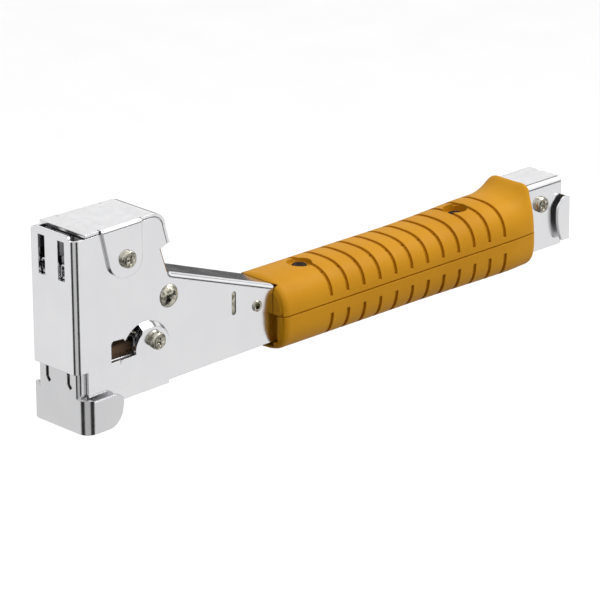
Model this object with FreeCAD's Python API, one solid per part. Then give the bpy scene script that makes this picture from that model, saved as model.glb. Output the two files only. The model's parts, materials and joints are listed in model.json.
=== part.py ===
"""Hammer tacker: a swinging staple magazine inside a folded steel frame.

Every piece is built at its real place and written to parts/NODE.step.
Lengths are in millimetres. While building, x is the distance behind the front
face of the head, y is the distance from the middle plane and z is the height
above the striking face. The saved frame has its origin at the centre of the
striking face: +X runs towards the end of the handle and +Z is up.
"""
import FreeCAD, Part
import math
import os

os.makedirs("parts", exist_ok=True)
V = FreeCAD.Vector

# ---------------------------------------------------------------- driving sizes
ORIGIN_X = 15.0            # centre of the striking face, behind the front face

SHEET = 1.4                # frame sheet
HEAD_HALF = 16.45          # half width of the frame at the front face
TAPER = 0.0305             # loss of half width per millimetre of length
NECK_END = 131.0           # where the taper ends and the grip begins
REAR_HALF = 12.45          # half width of the frame behind that
FRAME_END = 340.0          # rear edge of the frame
FRONT_BEND = 3.0           # outer radius of the front corners
TOP_BEND = 3.0             # outer radius of the bends along the neck
WEB_BOTTOM = 30.4          # lower edge of the front wall
HEAD_BOTTOM = 10.6         # lower edge of the side plates at the head
NECK_BOTTOM = 12.3         # lower edge of the side plates behind the head
HEAD_TOP = 97.4            # upper edge of the side plates
FRONT_TOP = 99.4           # upper edge of the front wall
NECK_SLOPE = -0.3546       # fall of the neck's top per millimetre
NECK_TOP_X = 63.2
NECK_TOP_Z = 66.4
CHANNEL_TOP = 40.2         # top of the frame inside the grip
BOX_TOP = 49.2             # top of the frame behind the grip
RISE_START = 305.5         # where the frame's top rises to it
RISE_END = 313.0
BACK_LEAN = 0.2973         # lean of the head's rear wall, x per z

BOSS_X = 44.5              # pressed boss beside the stop bolt
BOSS_Z = 30.0
BOSS_FOOT = 16.3
BOSS_FACE = 13.9
BOSS_RISE = 2.8
BOSS_LEAN = 80.5           # direction in which the boss opens, above the front
BOSS_TILT = 0.24           # slope of its face
BOSS_SINK = 0.37           # how far the middle of its face lies under the side plate
LIP_X = 47.3               # sheared lip of the boss
LIP_Z = 34.5
LIP_R = 9.6
BOLT_X = 50.5              # stop bolt through the boss
BOLT_Z = 35.5
BOLT_R = 2.5

LEVER_X = 60.6             # drive lever's pivot rivet
LEVER_Z = 55.2
RIVET_R = 4.0
RIVET_DOME_R = 5.9
TIP_X = 10.0               # pin that ties the lever to the blade carrier
TIP_Z = 61.0
TIP_PIN_R = 1.6
ROLLER_X = 91.8            # rollers on the lever's rear arm
ROLLER_R = 3.5
ROLLER_GAP = 0.45

PIVOT_X = 324.4            # magazine pivot
PIVOT_Z = 37.5
PIVOT_R = 3.4
RUN = 0.06                 # radial running clearance of a pin in its hole

MAG_HALF = 7.5             # magazine channel
MAG_BOTTOM = 11.3
MAG_WALL_TOP = 24.0
MAG_SHEET = 1.1
MAG_FRONT = 6.8
MAG_END = 322.0
CORE_HALF = 4.0            # staple core
CORE_TOP = 21.6
CORE_LEG_BOTTOM = 14.4
ROD_Z = 16.9
ROD_R = 1.6

NOSE_FRONT = 2.1           # nose plate
NOSE_SHEET = 1.6
NOSE_HALF = 14.75
NOSE_CORNER = 2.3
NOSE_TOP = 80.5
NOSE_FLANGE_TOP = 40.0
SHOE_HALF = 20.5           # wide lower part of the nose
SHOE_TOP = 16.4
SHOE_REAR = 26.3

SPRING_Y = 7.7             # return springs
SPRING_X = 9.4
SPRING_R = 2.9
SPRING_WIRE_R = 0.45
SPRING_LOW = 39.0
SPRING_HIGH = 73.0
HOOK_Y = 7.05              # their upper hooks, in the slots of the front wall
HOOK_HALF = 1.55
HOOK_TOP = 83.7

GRIP_FRONT = NECK_END
GRIP_REAR = 314.0
GRIP_SEAM = 26.5
GRIP_BOTTOM = 6.5
GRIP_HALF = 20.4
GRIP_LOWER_HALF = 20.9
GRIP_TOP = 43.5
GRIP_POWER = 2.65          # roundness of the grip's section
GRIP_SCREW_X = (161.0, 272.7)
DOWEL_X = (150.0, 285.0)
DOWEL_Y = 16.2
DOWEL_R = 1.5

PULL_HALF = 16.0           # pull at the end of the magazine
PULL_END = 344.3
PULL_SHEET = 1.5

FAR = 400.0                # longer than anything here


# ---------------------------------------------------------------- small helpers
def half_width(x):
    """Half width of the frame, outside, at a distance behind the front."""
    return max(HEAD_HALF - TAPER * x, REAR_HALF)


def box(x0, x1, y0, y1, z0, z1):
    return Part.makeBox(x1 - x0, y1 - y0, z1 - z0, V(x0, y0, z0))


def both_sides(x0, x1, y0, y1, z0, z1):
    """The same box on the near and the far side of the middle plane."""
    return [box(x0, x1, -y1, -y0, z0, z1), box(x0, x1, y0, y1, z0, z1)]


def rod_y(x, z, radius, y0, y1):
    return Part.makeCylinder(radius, y1 - y0, V(x, y0, z), V(0, 1, 0))


def rod_x(y, z, radius, x0, x1):
    return Part.makeCylinder(radius, x1 - x0, V(x0, y, z), V(1, 0, 0))


def rod_z(x, y, radius, z0, z1):
    return Part.makeCylinder(radius, z1 - z0, V(x, y, z0), V(0, 0, 1))


def face_of(steps, place):
    """Closed face from corner points; a step of four numbers is an arc."""
    edges = []
    here = place(*steps[0])
    first = here
    for step in steps[1:]:
        there = place(*step[-2:])
        if len(step) == 4:
            edges.append(Part.Arc(here, place(*step[:2]), there).toShape())
        else:
            edges.append(Part.LineSegment(here, there).toShape())
        here = there
    if here.distanceToPoint(first) > 1e-6:
        edges.append(Part.LineSegment(here, first).toShape())
    return Part.Face(Part.Wire(edges))


def side_prism(steps, y0=-60.0, y1=60.0):
    """Side outline (x, z) carried through from y0 to y1."""
    face = face_of(steps, lambda x, z: V(x, y0, z))
    return face.extrude(V(0, y1 - y0, 0))


def plan_prism(steps, z0=-20.0, z1=140.0):
    """Outline seen from above (x, y) carried up from z0 to z1."""
    face = face_of(steps, lambda x, y: V(x, y, z0))
    return face.extrude(V(0, 0, z1 - z0))


def round_edges(shape, radius, wanted):
    """Fillet the edges for which wanted(bounding box) is true."""
    edges = [edge for edge in shape.Edges if wanted(edge.BoundBox)]
    return shape.makeFillet(radius, edges)


def side_rounded(steps, corners):
    """Side outline carried through, with some of its corners rounded."""
    solid = side_prism(steps)
    for x, z, radius in corners:
        solid = round_edges(solid, radius, lambda b: b.YLength > 50 and b.XLength < 0.01
                            and abs(b.XMin - x) < 0.02 and abs(b.ZMin - z) < 0.02)
    return solid


def frame_plan(front, grow, corner, end=FRAME_END + 20):
    """Tapering plan of the frame as a tall solid, grown sideways by grow."""
    wide = half_width(front) + grow
    neck = REAR_HALF + grow
    lean = math.atan(TAPER)
    reach = 6.0
    dip = reach * math.tan(lean / 4)
    x0, y0 = NECK_END - reach * math.cos(lean), neck + reach * math.sin(lean)
    xm, ym = NECK_END + dip * math.sin(lean / 2), neck + dip * math.cos(lean / 2)
    x1 = NECK_END + reach
    steps = [(front, -wide), (x0, -y0), (xm, -ym, x1, -neck), (end, -neck),
             (end, neck), (x1, neck), (xm, ym, x0, y0), (front, wide)]
    solid = plan_prism(steps)
    if corner > 0:
        solid = round_edges(solid, corner, lambda b: b.XMax < front + 0.01 and b.ZLength > 100)
    return solid


def on_side(shape, x, z, side, lift=0.0):
    """Move a piece made round the -Y axis onto a side plate; side is -1 or 1."""
    placed = shape.copy()
    if side > 0:
        placed = placed.mirror(V(0, 0, 0), V(0, 1, 0))
    angle = math.degrees(math.atan(TAPER)) if x < NECK_END else 0.0
    placed.rotate(V(0, 0, 0), V(0, 0, 1), -side * angle)
    placed.translate(V(x, side * (half_width(x) + lift), z))
    return placed


def fuse(pieces):
    body = pieces[0].fuse(pieces[1:])
    return body.removeSplitter()


def tube(solid, hole):
    return solid.cut(hole)


def save(node, *solids):
    """Write one node; several solids stay separate in it."""
    flat = []
    for shape in solids:
        flat.extend(shape.Solids)
    moved = Part.Compound(flat) if len(flat) > 1 else flat[0]
    moved = moved.copy()
    moved.translate(V(-ORIGIN_X, 0, 0))
    if not moved.isValid():
        print("not valid:", node)
    moved.exportStep("parts/" + node + ".step")
    print(f"{node:20s} solids {len(flat)}  volume {moved.Volume / 1000:8.2f} cm3")


# ---------------------------------------------------------------- frame
def neck_top(x):
    return NECK_TOP_Z + NECK_SLOPE * (x - NECK_TOP_X)


def back_x(z):
    """Rear wall of the head, outside face, at a height."""
    return 61.3 - (z - 66.2) * BACK_LEAN


HEAD_CURVE = [(59.9, 82.0), (57.4, 90.5), (55.3, 95.3, 50.8, HEAD_TOP)]


def slope_end():
    """Where the neck's slope meets the top of the channel."""
    return NECK_TOP_X + (CHANNEL_TOP - NECK_TOP_Z) / NECK_SLOPE


def frame_side():
    """Side view of the frame, outside."""
    outline = [(0, WEB_BOTTOM), (7.2, WEB_BOTTOM), (7.2, HEAD_BOTTOM), (59.6, HEAD_BOTTOM),
               (59.6, NECK_BOTTOM), (FRAME_END, NECK_BOTTOM), (FRAME_END, BOX_TOP),
               (RISE_END, BOX_TOP), (RISE_START, CHANNEL_TOP), (slope_end(), CHANNEL_TOP),
               (61.5, neck_top(61.5)), (back_x(80.9), 80.9)] + HEAD_CURVE + [(0, HEAD_TOP)]
    return side_rounded(outline, [(slope_end(), CHANNEL_TOP, 20.0), (RISE_START, CHANNEL_TOP, 8.0),
                                  (RISE_END, BOX_TOP, 6.0), (61.5, neck_top(61.5), 4.0)])


def frame_hollow():
    """Side view of the space inside: open below, behind and above the head."""
    drop = SHEET * math.hypot(1, NECK_SLOPE)
    wall = SHEET * math.hypot(1, BACK_LEAN)
    low = CHANNEL_TOP - SHEET
    high = BOX_TOP - SHEET
    bend_x = slope_end() - 0.24
    corner_x = back_x(66.0) - wall
    corner_z = neck_top(corner_x) - drop
    rise, fall = RISE_END - 0.6, RISE_START - 0.6
    outline = [(SHEET, -5), (FAR, -5), (FAR, high), (rise, high), (fall, low), (bend_x, low),
               (corner_x, corner_z), (back_x(80.9) - wall, 80.9), (80, 80.9), (80, 120), (SHEET, 120)]
    return side_rounded(outline, [(bend_x, low, 21.4), (fall, low, 9.4), (rise, high, 4.6),
                                  (corner_x, corner_z, 5.4)])


def boss_form(grow, depth):
    """Low cone trimmed by a leaning plane, so that it dies out towards the rear and below."""
    slope = (BOSS_FOOT - BOSS_FACE) / BOSS_RISE
    below = 1.5
    cone = Part.makeCone(BOSS_FOOT + slope * below + grow, BOSS_FACE + grow, BOSS_RISE + below,
                         V(0, below, 0), V(0, -1, 0))
    turn = math.radians(BOSS_LEAN)
    trim = Part.makeBox(100, 20, 100, V(-50, depth + BOSS_SINK, -50))
    trim.rotate(V(0, 0, 0), V(math.sin(turn), 0, math.cos(turn)), math.degrees(math.atan(BOSS_TILT)))
    return cone.common(trim)


def boss_opening():
    """Sheared gap between the plate and the boss's lip, with the window in front of it."""
    ring = rod_y(BOSS_X, BOSS_Z, BOSS_FOOT + 0.1, 0, 40)
    ring = ring.common(side_prism([(20, 31.0), (40.4, 31.0), (40.4, 60), (20, 60)], 0, 40))
    ring = ring.common(side_prism([(31.4, 40.0), (31.4, 60), (60, 60), (60, 31.0), (38, 31.0)], 0, 40))
    window = side_prism([(22.4, 31.0), (38.6, 31.0), (38.6, 36.0), (34.0, 41.0), (31.4, 40.0),
                         (30.2, 41.4), (24.4, 41.8), (22.9, 41.2, 22.4, 39.8)], 0, 40)
    return ring.fuse(window).cut(rod_y(LIP_X, LIP_Z, LIP_R, 0, 40))


def frame_housing():
    def top_bend(b):
        return b.YLength < 3.5 and b.XMin > 54 and b.ZMin > 36 and b.ZMax < 81.5 and b.XLength > 1

    body = round_edges(frame_plan(0, 0, FRONT_BEND).common(frame_side()), TOP_BEND, top_bend)
    space = frame_plan(SHEET, -SHEET, FRONT_BEND - SHEET, FAR).common(frame_hollow())
    space = round_edges(space, TOP_BEND - SHEET, top_bend)
    body = body.cut(space)
    for side in (-1, 1):
        outside = boss_form(0, 0).common(Part.makeBox(200, 20, 200, V(-100, -19.7, -100)))
        body = body.fuse(on_side(outside, BOSS_X, BOSS_Z, side))
        body = body.cut(on_side(boss_form(-1.0, SHEET), BOSS_X, BOSS_Z, side))
        opening = boss_opening()
        body = body.cut(opening if side > 0 else opening.mirror(V(0, 0, 0), V(0, 1, 0)))
    body = body.cut([
        rod_y(LEVER_X, LEVER_Z, RIVET_R + 0.02, -30, 30),
        rod_y(BOLT_X, BOLT_Z, BOLT_R + 0.02, -30, 30),
        rod_y(CAP_SCREW_X, CAP_SCREW_Z, 2.65, -30, 30),
        rod_y(NECK_PIN_X, NECK_PIN_Z, NECK_PIN_R + 0.02, -30, 30),
        rod_y(PIVOT_X, PIVOT_Z, 2.45, -30, 30),
    ])
    body = body.cut(neck_slot(0))
    for y in (-HOOK_Y, HOOK_Y):
        body = body.cut(box(-1, SHEET + 0.6, y - 2.35, y + 2.35, 76.1, 95.9))
    for x in GRIP_SCREW_X:
        body = body.cut(rod_z(x, 0, 3.5, CHANNEL_TOP - 3, CHANNEL_TOP + 3))
    body = body.cut(box(FRAME_END - 1.2, FRAME_END + 1, 1.0, 5.0, BOX_TOP - 3, BOX_TOP + 1))
    tabs = [box(SHEET - 0.4, 6.0, side * SPRING_Y - 0.7, side * SPRING_Y + 0.7, 34.75, 36.05)
            for side in (-1, 1)]
    tongue = box(0, SHEET, -12.9, 12.9, HEAD_TOP - 1, FRONT_TOP)
    tongue = round_edges(tongue, 1.8, lambda b: b.ZMin > HEAD_TOP and b.XLength > 1 and b.YLength < 0.01
                         or b.ZLength < 0.01 and b.XLength > 1 and b.ZMin > FRONT_TOP - 0.01)
    return fuse([body, tongue] + tabs)


CAP_SCREW_X = 32.9
CAP_SCREW_Z = 81.5
NECK_PIN_X = 120.0
NECK_PIN_Z = 34.0
NECK_PIN_R = 2.0
CAP_SHEET = 1.4
SLOT_X = 104.2
CAP_FRONT = 7.2
CAP_GAP = 0.5
EAR_GAP = 0.05


def top_cap():
    rise = HEAD_TOP + CAP_GAP
    strip = side_prism([(CAP_FRONT, rise), (CAP_FRONT, rise + CAP_SHEET), (50.9, rise + CAP_SHEET),
                        (56.7, 96.8, 59.1, 91.0), (61.5, 82.45), (60.18, 82.0), (57.71, 90.55),
                        (55.6, 95.75, 50.8, rise)])
    strip = strip.common(frame_plan(0, 0, 0))
    ear_outline = [(17.0, rise + CAP_SHEET), (21.6, 80.2), (27.2, 73.5, 34.0, 72.6),
                   (40.5, 75.2, 42.6, 81.5), (42.6, rise + CAP_SHEET)]
    saddle = frame_plan(-1, EAR_GAP + CAP_SHEET, 0).common(side_prism(ear_outline))
    saddle = round_edges(saddle, 1.9, lambda b: b.ZMin > rise + CAP_SHEET - 0.01 and b.XLength > 20
                         and b.YLength < 2)
    saddle = saddle.cut(frame_plan(-1, EAR_GAP, 0).common(box(0, 80, -30, 30, 0, rise)))
    cap = fuse([saddle, strip])
    for x in (16.2, 42.6):
        cap = cap.cut(both_sides(x, x + 0.9, 13.9, 30, rise - 1.2, rise + 3))
    return cap.cut(rod_y(CAP_SCREW_X, CAP_SCREW_Z, 2.45, -30, 30))


# ---------------------------------------------------------------- fasteners
def cross_recess(depth, size):
    """Cross-shaped recess, cut inwards from y = 0 along +Y."""
    arm = Part.makeWedge(-size, 0, -0.55, -0.28, -0.3, size, depth, 0.55, 0.28, 0.3)
    other = arm.copy()
    other.rotate(V(0, 0, 0), V(0, 1, 0), 90)
    return arm.fuse(other)


def pan_screw(head_r, head_h, shank_r, length):
    """Screw whose head stands out along -Y from the plane y = 0."""
    head = Part.makeCylinder(head_r, head_h, V(0, 0, 0), V(0, -1, 0))
    head = round_edges(head, head_h * 0.6, lambda b: b.YMax < -head_h + 0.01)
    recess = cross_recess(head_h * 0.75, head_r * 0.55)
    recess.translate(V(0, -head_h, 0))
    shank = Part.makeCylinder(shank_r, length, V(0, 0, 0), V(0, 1, 0))
    return head.fuse(shank).cut(recess).removeSplitter()


def cap_screws():
    screw = pan_screw(4.4, 2.4, 2.4, 6.5)
    return [on_side(screw, CAP_SCREW_X, CAP_SCREW_Z, side, CAP_SHEET + 2 * EAR_GAP) for side in (-1, 1)]


def dome(radius, height):
    """Domed rivet head standing out along -Y from y = 0."""
    ball_r = (radius ** 2 + height ** 2) / (2 * height)
    ball = Part.makeSphere(ball_r, V(0, ball_r - height, 0))
    return ball.common(Part.makeCylinder(radius + 1, height, V(0, 0, 0), V(0, -1, 0)))


def lever_rivet():
    shank = rod_y(LEVER_X, LEVER_Z, RIVET_R, -half_width(LEVER_X) - 0.6, half_width(LEVER_X) + 0.6)
    heads = [on_side(dome(RIVET_DOME_R, 3.0), LEVER_X, LEVER_Z, side, 0.2) for side in (-1, 1)]
    return fuse([shank] + heads)


def lever_spacers():
    inner = half_width(LEVER_X + 6) - SHEET - 0.1
    return [tube(rod_y(LEVER_X, LEVER_Z, 5.6, y0, y1), rod_y(LEVER_X, LEVER_Z, RIVET_R + 0.02, y0, y1))
            for y0, y1 in ((-inner, -2.2), (2.2, inner))]


def stop_bolt():
    """Bolt whose heads stand on collars that fit the bosses' leaning faces."""
    lift = 2.0
    reach = half_width(BOLT_X) + lift
    shank = rod_y(BOLT_X, BOLT_Z, BOLT_R, -reach, reach)
    heads = []
    for side in (-1, 1):
        collar = Part.makeCylinder(4.0, lift - 0.03, V(0, -0.03, 0), V(0, -1, 0))
        collar = on_side(collar, BOLT_X, BOLT_Z, side)
        heads.append(collar.cut(on_side(boss_form(0.03, -0.03), BOSS_X, BOSS_Z, side)))
        heads.append(on_side(pan_screw(4.4, 2.4, 1.0, 2.0), BOLT_X, BOLT_Z, side, lift))
    return fuse([shank] + heads)


def stop_discs():
    """Steel discs inside the pressed bosses, carrying the bolt's load."""
    y0 = half_width(BOLT_X) - 3.0
    hole = rod_y(BOLT_X, BOLT_Z, BOLT_R + 0.02, -30, 30)
    return [rod_y(BOLT_X, BOLT_Z, 7.6, a, b).cut(hole)
            for a, b in ((-y0 - 1.2, -y0), (y0, y0 + 1.2))]


def stop_spacers():
    y1 = half_width(BOLT_X) - 3.05
    hole = rod_y(BOLT_X, BOLT_Z, BOLT_R + 0.02, -30, 30)
    return [rod_y(BOLT_X, BOLT_Z, 5.0, a, b).cut(hole) for a, b in ((-y1, -9.2), (9.2, y1))]


def neck_rivet():
    half = half_width(NECK_PIN_X)
    shank = rod_y(NECK_PIN_X, NECK_PIN_Z, NECK_PIN_R, -half - 0.5, half + 0.5)
    heads = []
    for side in (-1, 1):
        head = Part.makeCylinder(2.9, 0.9, V(0, 0, 0), V(0, -1, 0))
        head = round_edges(head, 0.5, lambda b: b.YMax < -0.89)
        heads.append(on_side(head, NECK_PIN_X, NECK_PIN_Z, side))
    bores = [rod_y(NECK_PIN_X, NECK_PIN_Z, 1.6, side * (half - 3) if side > 0 else -half - 3,
                   half + 3 if side > 0 else -half + 3) for side in (-1, 1)]
    return fuse([shank] + heads).cut(bores)


def neck_slot(margin):
    """Side outline of the slot in the neck, or of the brace's end with a margin."""
    half = 1.35 - margin
    low, high = 34.85, 44.35
    return side_prism([(SLOT_X - half, low), (SLOT_X - half, high),
                       (SLOT_X, high + half, SLOT_X + half, high),
                       (SLOT_X + half, low), (SLOT_X, low - half, SLOT_X - half, low)])


def neck_brace():
    """Cross plate whose ends stand in the slots in the neck."""
    return neck_slot(0.35).common(frame_plan(-1, -0.25, 0))


def pivot_tube():
    inner = REAR_HALF - SHEET - 0.02
    return tube(rod_y(PIVOT_X, PIVOT_Z, PIVOT_R, -inner, inner),
                rod_y(PIVOT_X, PIVOT_Z, 2.42, -inner, inner))


def pivot_screws():
    screw = pan_screw(4.3, 2.6, 2.4, 8.0)
    return [on_side(screw, PIVOT_X, PIVOT_Z, side) for side in (-1, 1)]


# ---------------------------------------------------------------- driver
def driver_guide():
    """Cast block under the cap; the carrier's stem slides in it."""
    inner = half_width(44) - SHEET - 0.1
    top = HEAD_TOP - 0.6
    block = box(14.6, 43.0, -inner, inner, 85.0, top)
    nose = box(7.2, 15.0, -12.6, 12.6, 85.0, top)
    lugs = both_sides(26.0, 43.0, 8.0, inner, 75.5, 84.5)
    body = fuse([block, nose] + lugs)
    body = body.cut(box(20.0, 38.0, -7.0, 7.0, 80.0, top - 3))
    body = body.cut(box(8.3, 13.7, -2.65, 2.65, 80, 100))
    for y in (5.6, SPRING_Y):
        body = body.cut(both_sides(7.0, 11.0, y - 0.55, y + 0.55, 80, 100))
    return body.cut(rod_y(CAP_SCREW_X, CAP_SCREW_Z, 2.7, -30, 30))


BLADE_REST = 22.9          # tip of the blade at rest
BLADE_X = 4.6
BLADE_THICK = 0.9


def driver_blade():
    blade = box(BLADE_X, BLADE_X + BLADE_THICK, -5.2, 5.2, BLADE_REST, 55.0)
    return blade.cut([rod_x(y, 51.0, 1.02, 4, 7) for y in (-1.5, 1.5)])


def blade_rivets():
    return [rod_x(y, 51.0, 1.0, BLADE_X, 6.6) for y in (-1.5, 1.5)]


def blade_carrier():
    body = box(BLADE_X + BLADE_THICK, 14.0, -3.7, 3.7, 46.5, 72.0)
    body = body.cut(box(7.0, 20.0, -2.25, 2.25, 52.5, 70.0))
    stem = box(8.45, 13.55, -2.5, 2.5, 71.0, 96.6)
    body = fuse([body, stem])
    body = body.cut([rod_x(y, 51.0, 1.02, 5, 6.6) for y in (-1.5, 1.5)])
    return body.cut(rod_y(TIP_X, TIP_Z, TIP_PIN_R + 0.01, -5, 5))


def carrier_pin():
    return rod_y(TIP_X, TIP_Z, TIP_PIN_R, -3.7, 3.7)


# ---------------------------------------------------------------- drive lever
ROLLER_Z = MAG_WALL_TOP + ROLLER_R + ROLLER_GAP
LEVER_HALF = 2.0


def lever_arm(x, z, near_r, far_r):
    """Flat tapered link between the pivot and a point."""
    dx, dz = x - LEVER_X, z - LEVER_Z
    length = math.hypot(dx, dz)
    nx, nz = -dz / length, dx / length
    corners = [(LEVER_X + nx * near_r, LEVER_Z + nz * near_r), (x + nx * far_r, z + nz * far_r),
               (x - nx * far_r, z - nz * far_r), (LEVER_X - nx * near_r, LEVER_Z - nz * near_r)]
    return side_prism(corners, -LEVER_HALF, LEVER_HALF)


def drive_lever():
    hub = rod_y(LEVER_X, LEVER_Z, 9.0, -LEVER_HALF, LEVER_HALF)
    tip = rod_y(TIP_X, TIP_Z, 3.6, -LEVER_HALF, LEVER_HALF)
    heel = rod_y(ROLLER_X, ROLLER_Z, 3.1, -LEVER_HALF, LEVER_HALF)
    body = fuse([hub, lever_arm(TIP_X, TIP_Z, 6.5, 3.6), tip,
                 lever_arm(ROLLER_X, ROLLER_Z, 7.5, 3.1), heel])
    body = body.cut(rod_y(LEVER_X, LEVER_Z, RIVET_R + RUN, -5, 5))
    body = body.cut(rod_y(ROLLER_X, ROLLER_Z, 1.52, -5, 5))
    slot = box(-6.0, 2.5, -5, 5, -TIP_PIN_R - RUN, TIP_PIN_R + RUN)
    slot = slot.fuse(rod_y(2.5, 0, TIP_PIN_R + RUN, -5, 5))
    lean = math.degrees(math.atan2(TIP_Z - LEVER_Z, LEVER_X - TIP_X))
    slot.rotate(V(0, 0, 0), V(0, 1, 0), lean)
    slot.translate(V(TIP_X, 0, TIP_Z))
    body = body.cut(slot)
    return body.cut(box(0, TIP_X - 2.2, -5, 5, 50, 72))


def lever_rollers():
    hole = rod_y(ROLLER_X, ROLLER_Z, 1.56, -20, 20)
    return [rod_y(ROLLER_X, ROLLER_Z, ROLLER_R, a, b).cut(hole) for a, b in ((-9.0, -2.15), (2.15, 9.0))]


def roller_pin():
    return rod_y(ROLLER_X, ROLLER_Z, 1.5, -9.6, 9.6)


# ---------------------------------------------------------------- magazine
BOLT_RELIEF = 22.8         # lowest point of the gap the stop bolt needs


def magazine_channel():
    """Open-topped channel whose walls rise at the rear to carry the pivot."""
    walls = [(MAG_FRONT, MAG_BOTTOM), (MAG_END, MAG_BOTTOM), (333.0, 20.0), (333.0, 38.4),
             (PIVOT_X, PIVOT_Z + 7.6, 315.8, 38.4), (313.0, MAG_WALL_TOP), (MAG_FRONT, MAG_WALL_TOP)]
    body = side_prism(walls, -MAG_HALF, MAG_HALF)
    inner = MAG_HALF - MAG_SHEET
    body = body.cut(box(0, FAR, -inner, inner, MAG_BOTTOM + MAG_SHEET, 60))
    body = body.cut(box(BOLT_X - 3.4, BOLT_X + 2.8, -20, 20, BOLT_RELIEF, 60))
    return body.cut(rod_y(PIVOT_X, PIVOT_Z, PIVOT_R + RUN, -20, 20))


def staple_core():
    """Inverted channel that the staples straddle, standing on two feet at the front."""
    floor = MAG_BOTTOM + MAG_SHEET
    body = box(7.2, 318.0, -CORE_HALF, CORE_HALF, floor, CORE_TOP)
    body = body.cut(box(0, FAR, -CORE_HALF + 1.0, CORE_HALF - 1.0, 0, CORE_TOP - 1.0))
    return body.cut(box(14.0, FAR, -10, 10, 0, CORE_LEG_BOTTOM))


def staple_guide():
    """Hardened block under the channel; its lower face is the striking face."""
    body = box(MAG_FRONT, 23.4, -MAG_HALF, MAG_HALF, 0, MAG_BOTTOM)
    body = round_edges(body, 2.5, lambda b: b.XMin > 23 and b.ZMax < 0.1)
    return body


def magazine_blocks():
    """Blocks that join the channel and its guide to the nose plate's flanges."""
    flange = NOSE_HALF - NOSE_SHEET - TAPER * 11 - 0.05
    return both_sides(7.0, 12.5, MAG_HALF, flange, 17.2, 23.2)


BRIDGE_TOP = 31.2


def stop_bracket():
    """Bracket on the channel with slots that ride on the stop bolt."""
    top = 38.6
    ear = 5.9
    outline = [(24.0, 14.0), (BOLT_X + ear, 14.0), (BOLT_X + ear, BOLT_Z),
               (BOLT_X, BOLT_Z + ear, BOLT_X - ear, BOLT_Z), (BOLT_X - ear, BRIDGE_TOP), (24.0, BRIDGE_TOP)]
    legs = side_prism(outline, -MAG_HALF - 1.3, MAG_HALF + 1.3)
    legs = legs.cut(box(0, 100, -MAG_HALF - 0.05, MAG_HALF + 0.05, 0, BRIDGE_TOP - 1.2))
    legs = legs.cut(box(BOLT_X - ear, 100, -MAG_HALF - 0.05, MAG_HALF + 0.05, 0, 60))
    slot = box(BOLT_X - BOLT_R - 0.3, BOLT_X + BOLT_R + 0.3, -20, 20, BOLT_RELIEF, top)
    wing = box(24.0, 42.0, -13.0, 13.0, BRIDGE_TOP - 1.2, BRIDGE_TOP)
    wing = round_edges(wing, 0.55, lambda b: b.XLength > 10)
    return fuse([legs.cut(slot), wing])


BUMPER_TOP = 35.4


def strike_bumper():
    """Fibre block that the drive lever meets at the end of its stroke."""
    body = box(26.0, 42.0, -MAG_HALF - 0.8, MAG_HALF + 0.8, BRIDGE_TOP, BUMPER_TOP)
    return round_edges(body, 1.5, lambda b: b.ZMin > BUMPER_TOP - 0.1)


def staple_strips():
    """Two full strips of staples; each strip is one solid."""
    strips = []
    for x0, x1 in ((6.9, 111.3), (111.5, 218.2)):
        strip = box(x0, x1, -5.3, 5.3, 12.7, CORE_TOP + 1.1)
        strips.append(strip.cut(box(0, FAR, -4.4, 4.4, 0, CORE_TOP + 0.2)))
    return strips


def nose_plan(front, half, corner, rear, grow):
    """Plan of a folded plate whose flanges follow the taper of the frame."""
    rear_half = half - TAPER * (rear - front) - grow
    steps = [(front + grow, -half + grow), (rear, -rear_half), (rear, rear_half),
             (front + grow, half - grow)]
    solid = plan_prism(steps)
    return round_edges(solid, corner - grow, lambda b: b.XMax < front + grow + 0.01 and b.ZLength > 100)


def striking_nose():
    """One folded plate: a narrow upper part inside the head and a wide shoe."""
    upper = nose_plan(NOSE_FRONT, NOSE_HALF, NOSE_CORNER, 12.6, 0).cut(
        nose_plan(NOSE_FRONT, NOSE_HALF, NOSE_CORNER, 13.6, NOSE_SHEET))
    upper_side = [(0, SHOE_TOP - 3), (6.6, SHOE_TOP - 3), (6.6, SHOE_TOP + 1.2), (12.6, SHOE_TOP + 1.2),
                  (12.6, NOSE_FLANGE_TOP - 5), (7.6, NOSE_FLANGE_TOP), (7.6, NOSE_TOP), (0, NOSE_TOP)]
    upper = upper.common(side_prism(upper_side))
    upper = upper.cut(box(5.2, 20, -30, 30, NOSE_FLANGE_TOP, 100))
    shoe = nose_plan(NOSE_FRONT, SHOE_HALF, 5.7, 30, 0)
    shoe = shoe.cut(nose_plan(NOSE_FRONT, SHOE_HALF, 5.7, 31, NOSE_SHEET))
    shoe_side = [(2.0, 0), (17.2, 0), (22.4, 2.3, SHOE_REAR - 0.8, 7.6), (SHOE_REAR, 11.4),
                 (25.0, 14.8, 21.6, SHOE_TOP), (7.6, SHOE_TOP),
                 (6.4, SHOE_TOP + 1.0), (2.0, SHOE_TOP + 1.0)]
    shoe = shoe.common(side_prism(shoe_side))
    body = fuse([upper, shoe])
    body = body.cut(both_sides(4.4, 7.4, NOSE_HALF - NOSE_SHEET - 1, SHOE_HALF - 5.6,
                               SHOE_TOP - 3.4, SHOE_TOP + 1.2))
    for side in (-1, 1):
        y = side * SPRING_Y
        body = body.cut(box(0, 8, y - 1.0, y + 1.0, 23.2, 37.2))
        hook = box(0, 8, -2.6, 0, -1.1, 1.1)
        hook.rotate(V(0, 0, 0), V(1, 0, 0), 50)
        hook.translate(V(0, y, 23.6))
        body = body.cut(hook)
        body = body.cut(box(0, 8, y - 1.5, y + 1.5, NOSE_TOP - 2.5, NOSE_TOP + 1))
    body = body.cut(box(0, 8, -4.6, 4.6, 60.0, NOSE_TOP + 1))
    return body


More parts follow.
